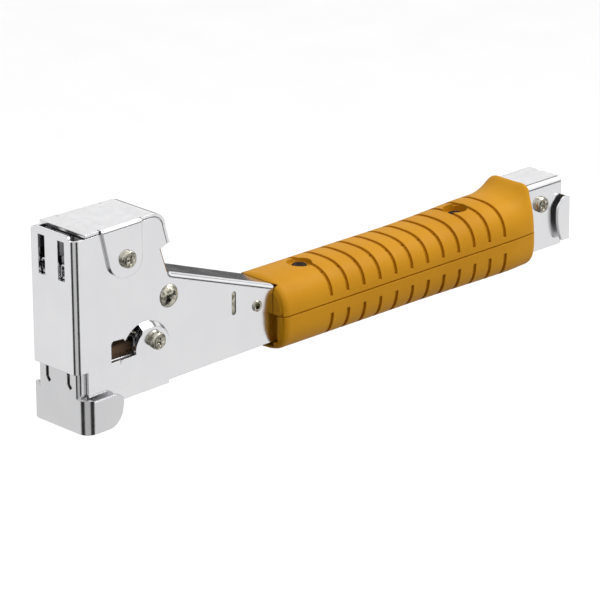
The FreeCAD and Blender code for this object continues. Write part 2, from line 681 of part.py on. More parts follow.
# ---------------------------------------------------------------- return springs
def wire(points, radius):
    """Round wire along straight runs joined by balls."""
    pieces = []
    for start, end in zip(points, points[1:]):
        run = end.sub(start)
        pieces.append(Part.makeCylinder(radius, run.Length, start, run))
    pieces.extend(Part.makeSphere(radius, point) for point in points[1:-1])
    return fuse(pieces)


def return_spring(side):
    """Closed outer form of an extension spring, with a hook at each end."""
    y = side * SPRING_Y
    coil = rod_z(SPRING_X, y, SPRING_R, SPRING_LOW, SPRING_HIGH)
    inset = SPRING_R - 2 * SPRING_WIRE_R
    plane = NOSE_FRONT - SPRING_WIRE_R - 0.15
    out = side * (HOOK_Y + HOOK_HALF)
    back = side * (HOOK_Y - HOOK_HALF)
    upper = wire([V(SPRING_X - inset, y, SPRING_HIGH - 0.5), V(SPRING_X - inset, y, 76.5),
                  V(5.2, out, 82.0), V(plane, out, 82.0), V(plane, out - side * 0.8, HOOK_TOP),
                  V(plane, back + side * 0.8, HOOK_TOP), V(plane, back, 82.0), V(plane, back, 77.4)],
                 SPRING_WIRE_R)
    lower = wire([V(SPRING_X - inset, y, SPRING_LOW + 0.5), V(SPRING_X - inset, y, 36.6),
                  V(5.4, y, 36.6)], SPRING_WIRE_R)
    return fuse([coil, upper, lower])


# ---------------------------------------------------------------- pusher and pull
PUSHER_FRONT = 218.4
PUSHER_REAR = 246.0


def pusher():
    """Saddle that rides on the core, closed below by a web with a post inside."""
    wall = 5.4
    body = box(PUSHER_FRONT, PUSHER_REAR, -wall, wall, 12.6, 22.7)
    body = body.cut(box(0, FAR, -CORE_HALF - 0.3, CORE_HALF + 0.3, 13.7, CORE_TOP + 0.3))
    post = box(PUSHER_REAR - 10, PUSHER_REAR, -2.6, 2.6, 13.0, 20.0)
    body = fuse([body, post])
    return body.cut(rod_x(0, ROD_Z, ROD_R + 0.15, 0, FAR))


def pusher_rod():
    """Rod through the pusher and its spring, with a stop collar in front."""
    collar = rod_x(0, ROD_Z, 2.4, 21.8, 24.7)
    return fuse([rod_x(0, ROD_Z, ROD_R, 20.0, PULL_END - PULL_SHEET - 4.0), collar])


def pusher_spring():
    """Closed outer form of the long compression spring."""
    return tube(rod_x(0, ROD_Z, 2.6, PUSHER_REAR + 0.2, PULL_END - PULL_SHEET - 8.2),
                rod_x(0, ROD_Z, ROD_R + 0.2, 0, FAR))


def pull_plug():
    """Plug on the pull that carries the rod and closes the channel."""
    body = box(PULL_END - PULL_SHEET - 8.0, PULL_END - PULL_SHEET, -5.5, 5.5, 13.2, 26.0)
    return body.cut(rod_x(0, ROD_Z, ROD_R + 0.01, 0, PULL_END - PULL_SHEET - 4.0))


def end_pull():
    """Folded end piece with a finger ear on each side of the frame."""
    outer = box(320, PULL_END, -PULL_HALF, PULL_HALF, 0, 60)
    outer = round_edges(outer, 2.2, lambda b: b.XMin > PULL_END - 0.01 and b.ZLength > 50)
    inner = box(300, PULL_END - PULL_SHEET, -PULL_HALF + PULL_SHEET, PULL_HALF - PULL_SHEET, -1, 61)
    ear = [(337.5, 15.2), (334.8, 23.0, 334.2, 31.0), (335.1, 34.6, 337.1, 36.6),
           (339.2, 38.7, 341.4, 39.0), (PULL_END, 37.6), (PULL_END, 15.2)]
    return outer.cut(inner).common(side_prism(ear))


def latch_leaf():
    """Spring leaf on the pull; it presses up under the frame's top."""
    plate = PULL_END - PULL_SHEET
    low = box(plate - 0.8, plate, 1.6, 4.6, 27.0, 37.0)
    leaf = side_prism([(plate, 37.0), (plate, 27.0), (plate - 0.8, 27.0), (plate - 0.8, 37.0),
                       (plate - 5.6, 46.8), (plate - 9.0, 46.8), (plate - 9.0, 47.6),
                       (plate - 5.2, 47.6)], 1.6, 4.6)
    return fuse([low, leaf])


# ---------------------------------------------------------------- grip
def grip_half_points(x, upper):
    """Half section of the grip's outside, from the seam to the middle plane."""
    count = 8
    points = []
    swell = smooth((x - 235.0) / 60.0)
    crown = GRIP_TOP + 2.3 * swell
    half = GRIP_HALF if upper else GRIP_LOWER_HALF
    high = crown - GRIP_SEAM if upper else GRIP_SEAM - GRIP_BOTTOM
    power = GRIP_POWER if upper else GRIP_POWER + 0.7 + 0.7 * swell
    for step in range(count + 1):
        turn = math.pi / 2 * step / count
        y = half * math.cos(turn) ** (2 / power)
        z = high * math.sin(turn) ** (2 / power)
        points.append((y, z))
    return points


def smooth(t):
    t = min(max(t, 0.0), 1.0)
    return t * t * (3 - 2 * t)


FLARE_START = 295.0        # where the grip's upper rear flare begins
FLARE_POWER = 2.3
LOWER_TAPER = 0.08         # narrowing of the lower shell at its rear
GROOVE_COUNT = 12
GROOVE_START = 163.8
GROOVE_PITCH = 11.38
GROOVE_WIDTH = 2.3
GROOVE_DEPTH = 1.2
GROOVE_UPPER_Z = 29.8      # lower end of the grooves in the upper shell
GROOVE_LOWER_Z = 21.0      # upper end of the grooves in the lower shell
COLLAR = [(18.9, 0.0), (18.5, 5.5), (17.6, 11.5), (16.3, 16.5), (15.1, 20.5), (14.2, 23.6),
          (11.6, 25.2), (6.0, 25.5), (0.0, 25.5)]


def grip_section(x, upper, shrink):
    """Closed wire of the grip's section at x, pulled inwards by shrink."""
    points = grip_half_points(x, upper)
    if upper:
        share = max((x - FLARE_START) / (GRIP_REAR - FLARE_START), 0.0) ** FLARE_POWER
        points = [(y0 + share * (y1 - y0), z0 + share * (z1 - z0))
                  for (y0, z0), (y1, z1) in zip(points, COLLAR)]
    else:
        taper = 1 - LOWER_TAPER * smooth((x - FLARE_START) / (GRIP_REAR - FLARE_START))
        points = [(y * taper, z) for y, z in points]
    width = points[0][0]
    height = points[-1][1]
    points = [(y * (1 - shrink / width), z * (1 - shrink / height)) for y, z in points]
    sign = 1 if upper else -1
    near = [V(x, -y, GRIP_SEAM + sign * z) for y, z in points]
    far = [V(x, y, GRIP_SEAM + sign * z) for y, z in reversed(points[:-1])]
    curve = Part.BSplineCurve()
    curve.interpolate(near + far)
    closing = Part.LineSegment(far[-1], near[0])
    return Part.Wire([curve.toShape(), closing.toShape()])


def grip_solid(upper):
    stations = [(0.0, 2.6), (0.7, 1.3), (1.9, 0.4), (3.4, 0.0)]
    places = [(GRIP_FRONT + x, shrink) for x, shrink in stations]
    middles = (136.5, 140.0, 146.0, 154.0, 165.0, 200.0, 235.0, 265.0, 290.0, 296.0, 301.0, 305.0, 308.5)
    places += [(x, 0.0) for x in middles]
    places += [(GRIP_REAR - x, 0.5 * shrink) for x, shrink in reversed(stations[:-1])]
    return Part.makeLoft([grip_section(x, upper, shrink) for x, shrink in places], True, False)


def grip_grooves(upper):
    """Finger grooves across one shell, following its outside."""
    z0, z1 = (GROOVE_UPPER_Z, FAR) if upper else (0.0, GROOVE_LOWER_Z)
    slabs = []
    for number in range(GROOVE_COUNT):
        x = GROOVE_START + GROOVE_PITCH * number
        slab = box(x - GROOVE_WIDTH / 2, x + GROOVE_WIDTH / 2, -30, 30, z0, z1)
        ends = [grip_section(x + side * GROOVE_WIDTH, upper, GROOVE_DEPTH) for side in (-1, 1)]
        slabs.append(slab.cut(Part.makeLoft(ends, True, True)))
    return slabs


def frame_void():
    """Room for the frame inside the grip, a hair larger than the frame."""
    low = CHANNEL_TOP + 0.1
    high = BOX_TOP + 0.1
    bend_x = slope_end() + 0.02
    outline = [(100, 9.0), (FAR, 9.0), (FAR, high), (RISE_END - 0.05, high),
               (RISE_START - 0.05, low), (bend_x, low),
               (100, low + (100 - bend_x) * NECK_SLOPE)]
    tall = side_rounded(outline, [(bend_x, low, 19.9), (RISE_START - 0.05, low, 7.9)])
    return tall.common(box(0, 2 * FAR, -REAR_HALF - 0.05, REAR_HALF + 0.05, 0, FAR))


def grip_mouth():
    """Recess in the front of the lower shell, round the frame."""
    return box(100, GRIP_FRONT + 5.0, -15.7, 15.7, 11.5, 60)


def seam_groove(upper):
    """Narrow groove along the seam, half of it in each shell."""
    z0, z1 = (GRIP_SEAM, GRIP_SEAM + 0.3) if upper else (GRIP_SEAM - 0.3, GRIP_SEAM)
    core = [(GRIP_FRONT + 1.0, 17.0), (GRIP_FRONT + 4.0, 19.2), (GRIP_REAR - 16.0, 19.2),
            (GRIP_REAR - 1.0, 17.6)]
    core += [(x, -y) for x, y in reversed(core)]
    return box(GRIP_FRONT - 1, GRIP_REAR + 1, -30, 30, z0, z1).cut(plan_prism(core))


SCREW_SEAT = CHANNEL_TOP + 0.9


def grip_upper():
    body = grip_solid(True).cut(frame_void())
    neck = side_prism([(100, 60), (100, 20), (GRIP_FRONT + 8, 20), (GRIP_FRONT + 8, neck_top(GRIP_FRONT + 8)),
                       (100, neck_top(100) + 0.4)], -12.8, 12.8)
    body = body.cut(neck)
    for x in GRIP_SCREW_X:
        body = body.cut(rod_z(x, 0, 6.5, SCREW_SEAT, 60))
        body = body.cut(rod_z(x, 0, 2.3, CHANNEL_TOP - 2, 60))
    return body.cut(dowel_holes() + grip_grooves(True) + [seam_groove(True)])


def grip_lower():
    body = grip_solid(False).cut(frame_void()).cut(grip_mouth())
    return body.cut(dowel_holes() + grip_grooves(False) + [seam_groove(False)])


def dowel_holes():
    return [rod_z(x, y, DOWEL_R + 0.01, 17.9, 33.1) for x in DOWEL_X for y in (-DOWEL_Y, DOWEL_Y)]


def grip_dowels():
    """Pins that join the two shells beside the frame."""
    return [rod_z(x, y, DOWEL_R, 18.0, 33.0) for x in DOWEL_X for y in (-DOWEL_Y, DOWEL_Y)]


def grip_screws():
    screw = pan_screw(3.9, 1.2, 2.25, 6.6)
    screw.rotate(V(0, 0, 0), V(1, 0, 0), -90)
    screws = []
    for x in GRIP_SCREW_X:
        placed = screw.copy()
        placed.translate(V(x, 0, SCREW_SEAT + 0.02))
        screws.append(placed)
    return screws


def grip_nuts():
    """Clinch nuts under the frame's top."""
    nuts = []
    for x in GRIP_SCREW_X:
        body = rod_z(x, 0, 3.45, CHANNEL_TOP - SHEET - 3.2, CHANNEL_TOP - 0.05)
        body = body.fuse(rod_z(x, 0, 4.6, CHANNEL_TOP - SHEET - 3.2, CHANNEL_TOP - SHEET - 0.02))
        nuts.append(body.cut(rod_z(x, 0, 2.27, 20, 60)).removeSplitter())
    return nuts


# ---------------------------------------------------------------- write every node
save("frame_housing", frame_housing())
save("top_cap", top_cap())
save("cap_screws", *cap_screws())
save("driver_guide", driver_guide())
save("lever_rivet", lever_rivet())
save("lever_spacers", *lever_spacers())
save("stop_bolt", stop_bolt())
save("stop_discs", *stop_discs())
save("stop_spacers", *stop_spacers())
save("neck_rivet", neck_rivet())
save("pivot_tube", pivot_tube())
save("pivot_screws", *pivot_screws())
save("grip_upper", grip_upper())
save("grip_lower", grip_lower())
save("grip_screws", *grip_screws())
save("grip_nuts", *grip_nuts())
save("grip_dowels", *grip_dowels())
save("neck_brace", neck_brace())
save("driver_blade", driver_blade())
save("blade_rivets", *blade_rivets())
save("blade_carrier", blade_carrier())
save("carrier_pin", carrier_pin())
save("drive_lever", drive_lever())
save("lever_rollers", *lever_rollers())
save("roller_pin", roller_pin())
save("magazine_channel", magazine_channel())
save("staple_core", staple_core())
save("staple_guide", staple_guide())
save("magazine_blocks", *magazine_blocks())
save("stop_bracket", stop_bracket())
save("strike_bumper", strike_bumper())
save("striking_nose", striking_nose())
save("staple_strips", *staple_strips())
save("return_spring_left", return_spring(-1))
save("return_spring_right", return_spring(1))
save("pusher", pusher())
save("pusher_rod", pusher_rod())
save("pusher_spring", pusher_spring())
save("pull_plug", pull_plug())
save("end_pull", end_pull())
save("latch_leaf", latch_leaf())
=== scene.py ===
import json
import math

import bmesh
import bpy
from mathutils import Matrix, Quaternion, Vector


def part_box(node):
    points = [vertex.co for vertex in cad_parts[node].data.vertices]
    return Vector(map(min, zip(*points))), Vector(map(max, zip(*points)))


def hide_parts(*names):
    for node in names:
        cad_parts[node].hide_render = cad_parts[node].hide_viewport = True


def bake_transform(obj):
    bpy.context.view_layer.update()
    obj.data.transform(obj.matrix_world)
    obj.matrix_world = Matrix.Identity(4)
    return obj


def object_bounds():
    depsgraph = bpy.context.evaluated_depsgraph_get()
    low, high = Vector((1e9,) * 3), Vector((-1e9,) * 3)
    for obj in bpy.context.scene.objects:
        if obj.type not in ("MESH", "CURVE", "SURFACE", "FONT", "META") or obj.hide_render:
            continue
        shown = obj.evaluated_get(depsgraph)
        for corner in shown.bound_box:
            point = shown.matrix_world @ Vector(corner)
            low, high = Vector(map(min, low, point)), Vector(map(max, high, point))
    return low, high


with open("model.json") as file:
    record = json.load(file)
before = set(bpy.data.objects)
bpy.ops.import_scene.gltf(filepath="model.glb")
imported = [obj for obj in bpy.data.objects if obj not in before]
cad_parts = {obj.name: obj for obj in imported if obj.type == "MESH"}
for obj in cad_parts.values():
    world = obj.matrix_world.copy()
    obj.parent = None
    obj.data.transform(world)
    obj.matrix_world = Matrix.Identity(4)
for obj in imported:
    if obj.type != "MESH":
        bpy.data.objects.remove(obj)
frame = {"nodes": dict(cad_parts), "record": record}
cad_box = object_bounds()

scene = bpy.context.scene
MM = 0.001


# ---------------------------------------------------------------- node helpers
NOISE_SPREAD = (0.3, 0.7)     # most of a noise texture's values lie between these
EDGE_TURN = (0.90, 0.995)     # cosine between soft and flat normal: on an edge, on a flat face


class Tree:
    """Short way to write a node tree: an input takes a value or another node's socket."""

    def __init__(self, tree):
        self.tree = tree

    def put(self, socket, value):
        if isinstance(value, bpy.types.NodeSocket):
            self.tree.links.new(value, socket)
        else:
            socket.default_value = value

    def add(self, kind, inputs, **settings):
        node = self.tree.nodes.new(kind)
        for key, value in settings.items():
            setattr(node, key, value)
        for key, value in inputs.items():
            self.put(node.inputs[key], value)
        return node


class Nodes(Tree):
    """A new material with a Principled shader."""

    def __init__(self, name):
        self.material = bpy.data.materials.new(name)
        self.material.use_nodes = True
        super().__init__(self.material.node_tree)
        self.shader = self.tree.nodes["Principled BSDF"]
        self.place = self.add("ShaderNodeTexCoord", {}).outputs["Object"]

    def noise(self, scale, detail, rough, stretch=None):
        place = self.place
        if stretch:
            place = self.add("ShaderNodeMapping", {"Vector": place, "Scale": stretch}).outputs["Vector"]
        made = self.add("ShaderNodeTexNoise", {"Vector": place, "Scale": scale, "Detail": detail,
                                               "Roughness": rough})
        return made.outputs["Fac"]

    def span(self, value, low, high, start=NOISE_SPREAD[0], end=NOISE_SPREAD[1]):
        """Value from start to end becomes low to high."""
        made = self.add("ShaderNodeMapRange", {"Value": value, "From Min": start, "From Max": end,
                                               "To Min": low, "To Max": high})
        return made.outputs["Result"]

    def math(self, operation, a, b=0.0):
        return self.add("ShaderNodeMath", {0: a, 1: b}, operation=operation).outputs[0]

    def colour(self, share, first, second):
        """First colour at share 0, second at share 1; each is three numbers or a socket."""
        sockets = {0: share}
        for index, value in ((6, first), (7, second)):
            is_socket = isinstance(value, bpy.types.NodeSocket)
            sockets[index] = value if is_socket else (*value, 1.0)
        return self.add("ShaderNodeMix", sockets, data_type="RGBA").outputs[2]

    def bump(self, height, strength, distance, normal=None):
        inputs = {"Height": height, "Strength": strength, "Distance": distance}
        if normal is not None:
            inputs["Normal"] = normal
        return self.add("ShaderNodeBump", inputs).outputs["Normal"]

    def round_edge(self, radius):
        return self.add("ShaderNodeBevel", {"Radius": radius}, samples=4).outputs["Normal"]

    def edge(self, radius):
        """1 on an edge and 0 on a flat face."""
        soft = self.round_edge(radius)
        flat = self.add("ShaderNodeNewGeometry", {}).outputs["Normal"]
        dot = self.add("ShaderNodeVectorMath", {0: soft, 1: flat}, operation="DOT_PRODUCT")
        return self.span(dot.outputs["Value"], 1.0, 0.0, *EDGE_TURN)

    def set(self, **sockets):
        for key, value in sockets.items():
            self.put(self.shader.inputs[key.replace("_", " ")], value)
        return self.material


def tinted(colour, times, plus=0.0):
    return tuple(min(1.0, channel * times + plus) for channel in colour)


# ---------------------------------------------------------------- materials
def plated(name, colour, dark, rough, edge_radius=0.4 * MM):
    """Bright plated steel: cloudy plating, fine handling scratches, and edges painted darker as painted
    shade for the dark lines that edges reflect.
    """
    n = Nodes(name)
    clouds = n.noise(scale=38.0, detail=5.0, rough=0.6)
    grain = n.noise(scale=900.0, detail=3.0, rough=0.6)
    streaks = n.noise(scale=210.0, detail=4.0, rough=0.7, stretch=(1.0, 1.0, 0.06))
    base = n.colour(n.span(clouds, 0.0, 1.0, 0.25, 0.75), dark, colour)
    # painted shade: the edges get a darker colour, 0.62 times the bright one, that stands in for the dark
    # lines edges reflect
    base = n.colour(n.edge(edge_radius), base, tinted(colour, times=0.62))
    roughness = n.math("ADD", n.span(clouds, rough - 0.03, rough + 0.05), n.span(streaks, -0.02, 0.04))
    soft = n.round_edge(edge_radius)
    normal = n.bump(grain, strength=0.08, distance=0.04 * MM, normal=soft)
    normal = n.bump(clouds, strength=0.05, distance=1.2 * MM, normal=normal)
    return n.set(Base_Color=base, Metallic=1.0, Roughness=roughness, Normal=normal)


def struck(name, colour, dark, rough):
    """Headed and plated fastener: uneven faces, painted shade in the hollows and painted highlight on the
    rims.
    """
    n = Nodes(name)
    dents = n.noise(scale=520.0, detail=2.0, rough=0.5)
    wear = n.noise(scale=1500.0, detail=4.0, rough=0.6)
    # painted shade: the colour turns dark where the dents' bump is low, in the hollows
    base = n.colour(n.span(dents, 0.0, 1.0, 0.40, 0.60), dark, colour)
    # painted highlight: the edges get a lighter colour, 1.3 times the bright one
    base = n.colour(n.edge(0.25 * MM), base, tinted(colour, times=1.3))
    normal = n.bump(dents, strength=0.55, distance=0.6 * MM, normal=n.round_edge(0.35 * MM))
    normal = n.bump(wear, strength=0.10, distance=0.05 * MM, normal=normal)
    roughness = n.span(wear, rough - 0.05, rough + 0.08)
    return n.set(Base_Color=base, Metallic=1.0, Roughness=roughness, Normal=normal)


def moulded(name, light, deep, rough, edge_radius=0.6 * MM):
    """Moulded plastic: faint colour drift, fine spark texture, and edges painted lighter in patches,
    partly rubbed wear and partly painted highlight.
    """
    n = Nodes(name)
    drift = n.noise(scale=22.0, detail=3.0, rough=0.5)
    grain = n.noise(scale=1900.0, detail=2.0, rough=0.5)
    rub = n.noise(scale=160.0, detail=5.0, rough=0.65)
    base = n.colour(n.span(drift, 0.0, 1.0), deep, light)
    # edges painted lighter where the rub noise is high: partly rubbed wear, partly painted highlight
    rubbed_and_lit_edge = n.math("MULTIPLY", n.edge(edge_radius), n.span(rub, 0.0, 0.6, 0.4, 0.65))
    base = n.colour(rubbed_and_lit_edge, base, tinted(light, times=1.3, plus=0.03))
    roughness = n.math("ADD", n.span(grain, rough - 0.04, rough + 0.04), n.span(rub, -0.03, 0.05))
    normal = n.bump(grain, strength=0.22, distance=0.06 * MM, normal=n.round_edge(edge_radius))
    return n.set(Base_Color=base, Roughness=roughness, Normal=normal, Specular_IOR_Level=0.13)


STAPLE_PITCH = 1.25 * MM


def staple_wire():
    """Glued staples, one flat wire after the other along the strip."""
    n = Nodes("staple_wire")
    along = n.add("ShaderNodeSeparateXYZ", {"Vector": n.place}).outputs["X"]
    wave = n.math("SINE", n.math("MULTIPLY", along, 2 * math.pi / STAPLE_PITCH))
    glue = n.noise(scale=140.0, detail=4.0, rough=0.6)
    shade = n.math("MULTIPLY", n.span(wave, 0.0, 1.0, -0.9, 0.2), n.span(glue, 0.8, 1.0))
    base = n.colour(shade, (0.20, 0.20, 0.21), (0.66, 0.67, 0.70))
    normal = n.bump(wave, strength=0.6, distance=0.2 * MM)
    return n.set(Base_Color=base, Metallic=1.0, Roughness=n.span(glue, 0.26, 0.42), Normal=normal)


def floor_paper():
    n = Nodes("floor_paper")
    fleck = n.noise(scale=14.0, detail=3.0, rough=0.5)
    base = n.colour(fleck, (0.90, 0.90, 0.90), (0.94, 0.94, 0.94))
    return n.set(Base_Color=base, Roughness=0.9, Specular_IOR_Level=0.1)


# each slot's bright colour, dark colour and roughness
MATERIALS = {
    "plated_sheet": plated("plated_sheet", (0.87, 0.87, 0.88), (0.80, 0.80, 0.815), 0.15),
    "nose_sheet": plated("nose_sheet", (0.73, 0.73, 0.74), (0.66, 0.66, 0.67), 0.17),
    "plated_fasteners": struck("plated_fasteners", (0.60, 0.57, 0.48), (0.20, 0.19, 0.15), 0.16),
    "hard_steel": plated("hard_steel", (0.42, 0.42, 0.44), (0.30, 0.30, 0.31), 0.32),
    "plain_steel": plated("plain_steel", (0.70, 0.70, 0.72), (0.58, 0.58, 0.60), 0.26),
    "pusher_steel": plated("pusher_steel", (0.52, 0.52, 0.54), (0.40, 0.40, 0.42), 0.30),
    "rod_steel": plated("rod_steel", (0.60, 0.60, 0.62), (0.50, 0.50, 0.52), 0.24),
    "spring_wire": plated("spring_wire", (0.72, 0.72, 0.74), (0.55, 0.55, 0.56), 0.24, 0.2 * MM),
    # painted shade: the grip screws get a near-black brown that stands in for the shade deep in their
    # holes
    "black_fasteners": moulded("black_fasteners", (0.030, 0.018, 0.010), (0.016, 0.010, 0.006), 0.75),
    "cast_block": plated("cast_block", (0.42, 0.42, 0.43), (0.30, 0.30, 0.31), 0.42),
    "bumper_fibre": moulded("bumper_fibre", (0.20, 0.125, 0.075), (0.12, 0.075, 0.045), 0.70),
    "slider_plastic": moulded("slider_plastic", (0.045, 0.045, 0.048), (0.02, 0.02, 0.022), 0.48),
    "grip_plastic": moulded("grip_plastic", (0.56, 0.256, 0.005), (0.50, 0.218, 0.003), 0.50),
    "staple_wire": staple_wire(),
}

for part in frame["record"]["subparts"]:
    node = frame["nodes"][part["node"]]
    node.data.materials.clear()
    node.data.materials.append(MATERIALS[part["material_slot"]])


# ---------------------------------------------------------------- wire paths and meshes
def add_object(name, data):
    made = bpy.data.objects.new(name, data)
    scene.collection.objects.link(made)
    return made


def tube_mesh(name, path, radius, sides):
    """Round wire along a path of points, with closed ends."""
    work = bmesh.new()
    rings = []
    side = Vector((0, 1, 0))
    for index, point in enumerate(path):
        before = path[max(index - 1, 0)]
        after = path[min(index + 1, len(path) - 1)]
        along = (after - before).normalized()
        side = (side - along * side.dot(along)).normalized()
        other = along.cross(side)
        ring = []
        for step in range(sides):
            turn = 2 * math.pi * step / sides
            offset = side * math.cos(turn) + other * math.sin(turn)
            ring.append(work.verts.new(point + offset * radius))
        rings.append(ring)
    for ring, following in zip(rings, rings[1:]):
        for step in range(sides):
            nxt = (step + 1) % sides
            work.faces.new((ring[step], ring[nxt], following[nxt], following[step]))
    work.faces.new(list(reversed(rings[0])))
    work.faces.new(rings[-1])
    bmesh.ops.recalc_face_normals(work, faces=work.faces)
    mesh = bpy.data.meshes.new(name)
    work.to_mesh(mesh)
    work.free()
    mesh.shade_smooth()
    return mesh


def helix(centre, axis, start, radius, length, turns, per_turn):
    """Points of a coil that begins beside centre, on the start side, and climbs length along axis."""
    across = start.normalized()
    other = axis.cross(across)
    points = []
    total = int(turns * per_turn)
    for step in range(total + 1):
        turn = 2 * math.pi * turns * step / total
        lift = axis * (length * step / total)
        points.append(centre + lift + (across * math.cos(turn) + other * math.sin(turn)) * radius)
    return points


BEND_SHARE = 0.45             # most of a run that one of its two bends may take
BEND_STEPS = 4


def rounded(corners, reach):
    """Path through corner points, with each corner turned by a short curve."""
    path = [corners[0]]
    for before, corner, after in zip(corners, corners[1:], corners[2:]):
        back, ahead = before - corner, after - corner
        start = corner + back.normalized() * min(reach, back.length * BEND_SHARE)
        end = corner + ahead.normalized() * min(reach, ahead.length * BEND_SHARE)
        for step in range(BEND_STEPS + 1):
            t = step / BEND_STEPS
            path.append(start * (1 - t) ** 2 + corner * (2 * t * (1 - t)) + end * t ** 2)
    return path + [corners[-1]]


# ---------------------------------------------------------------- springs
SPRING_Y = 7.7 * MM           # middle of each return spring
SPRING_WIRE = 0.45 * MM       # radius of its wire
SPRING_R = 2.9 * MM           # outside of its coil
SPRING_PITCH = 1.12 * MM
FOOT_HEIGHT = 3.4 * MM        # hook below the coil
FOOT_REACH = 2.0 * MM
FOOT_BEND = 1.0 * MM
HOOK_HEIGHT = 11.9 * MM       # hook above the coil, arched over the nose
HOOK_Y = 7.05 * MM            # middle and half width of its arch
HOOK_HALF = 1.55 * MM
HOOK_SHOULDER = 1.7 * MM      # from the arch's top down to its sides
HOOK_CHAMFER = 0.7 * MM
HOOK_TAIL = 6.2 * MM          # from the arch's top down to the wire's end
HOOK_RUN = 3.7 * MM           # level run from the stem to the arch
STEM_LOW = 0.6 * MM           # stem between coil and hook, from the coil's top
STEM_HIGH = 4.0 * MM
FOOT_GAP = 0.4 * MM           # from the foot's stem to the coil's first turn
HOOK_BEND = 1.4 * MM
PUSHER_WIRE = 0.35 * MM       # radius of the pusher spring's wire
PUSHER_PITCH = 1.6 * MM
FRONT_SHARE = 0.62            # part of the pusher spring that the pusher presses together


def spring_piece(name, path, wire, sides, node):
    """Drawn wire that stands for a spring's CAD solid."""
    mesh = tube_mesh(name, path, wire, sides)
    piece = add_object(name, mesh)
    mesh.materials.append(MATERIALS["spring_wire"])
    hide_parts(node)
    return piece


def return_spring(node):
    """Close coil between a foot hook over the frame's tab and an arched hook over the nose."""
    low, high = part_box(node)
    side = 1 if low[1] > 0 else -1
    middle_y = side * SPRING_Y
    axis_x = high[0] - SPRING_R
    radius = SPRING_R - SPRING_WIRE
    stem_x = axis_x - radius
    coil_low = low[2] + FOOT_HEIGHT
    coil_high = high[2] - HOOK_HEIGHT
    height = coil_high - coil_low
    coil = helix(Vector((axis_x, middle_y, coil_low)), axis=Vector((0, 0, 1)), start=Vector((-1, 0, 0)),
                 radius=radius, length=height, turns=round(height / SPRING_PITCH), per_turn=20)
    foot_z = low[2] + SPRING_WIRE
    foot = [Vector((stem_x - FOOT_REACH, middle_y, foot_z)),
            Vector((stem_x, middle_y, foot_z)),
            Vector((stem_x, middle_y, coil_low - FOOT_GAP))]
    front = low[0] + SPRING_WIRE
    top = high[2] - SPRING_WIRE
    shoulder = top - HOOK_SHOULDER
    out, back = side * (HOOK_Y + HOOK_HALF), side * (HOOK_Y - HOOK_HALF)
    chamfer = side * HOOK_CHAMFER
    arch = [Vector((stem_x, middle_y, coil_high + STEM_LOW)),
            Vector((stem_x, middle_y, coil_high + STEM_HIGH)),
            Vector((front + HOOK_RUN, out, shoulder)),
            Vector((front, out, shoulder)),
            Vector((front, out - chamfer, top)),
            Vector((front, back + chamfer, top)),
            Vector((front, back, shoulder)),
            Vector((front, back, top - HOOK_TAIL))]
    path = rounded(foot, FOOT_BEND) + coil + rounded(arch, HOOK_BEND)
    piece = spring_piece(node + "_wire", path, SPRING_WIRE, sides=12, node=node)
    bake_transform(piece)


def pusher_spring():
    """Coil round the rod, drawn in two lengths, a front one and a rear one, cut at FRONT_SHARE of its
    points.
    """
    low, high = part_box("pusher_spring")
    middle_z = (low[2] + high[2]) / 2
    length = high[0] - low[0] - 2 * PUSHER_WIRE
    start = Vector((low[0] + PUSHER_WIRE, (low[1] + high[1]) / 2, middle_z))
    coil = helix(start, axis=Vector((1, 0, 0)), start=Vector((0, 0, 1)),
                 radius=(high[2] - low[2]) / 2 - PUSHER_WIRE, length=length,
                 turns=round(length / PUSHER_PITCH), per_turn=16)
    cut = int(len(coil) * FRONT_SHARE)
    join = coil[cut].x
    lengths = (("pusher_spring_front", coil[:cut + 1], "pusher", "magazine", low[0], join),
               ("pusher_spring_rear", coil[cut:], "magazine", "rear_pull", join, high[0]))
    for name, path, front_body, rear_body, front_x, rear_x in lengths:
        piece = spring_piece(name, path, PUSHER_WIRE, sides=8, node="pusher_spring")
        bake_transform(piece)


return_spring("return_spring_left")
return_spring("return_spring_right")
pusher_spring()


# ---------------------------------------------------------------- floor
FLOOR_HALF = 9.0
FLOOR_DROP = 0.30             # the floor lies this far below the part


def make_floor():
    """Pale paper that neither lights the part nor shows in its metal."""
    low, high = cad_box
    work = bmesh.new()
    bmesh.ops.create_grid(work, x_segments=2, y_segments=2, size=FLOOR_HALF)
    mesh = bpy.data.meshes.new("studio_floor")
    work.to_mesh(mesh)
    work.free()
    mesh.materials.append(floor_paper())
    floor = add_object("studio_floor", mesh)
    floor.location = ((low[0] + high[0]) / 2, 0, low[2] - FLOOR_DROP)
    floor.visible_glossy = False
    floor.visible_diffuse = False


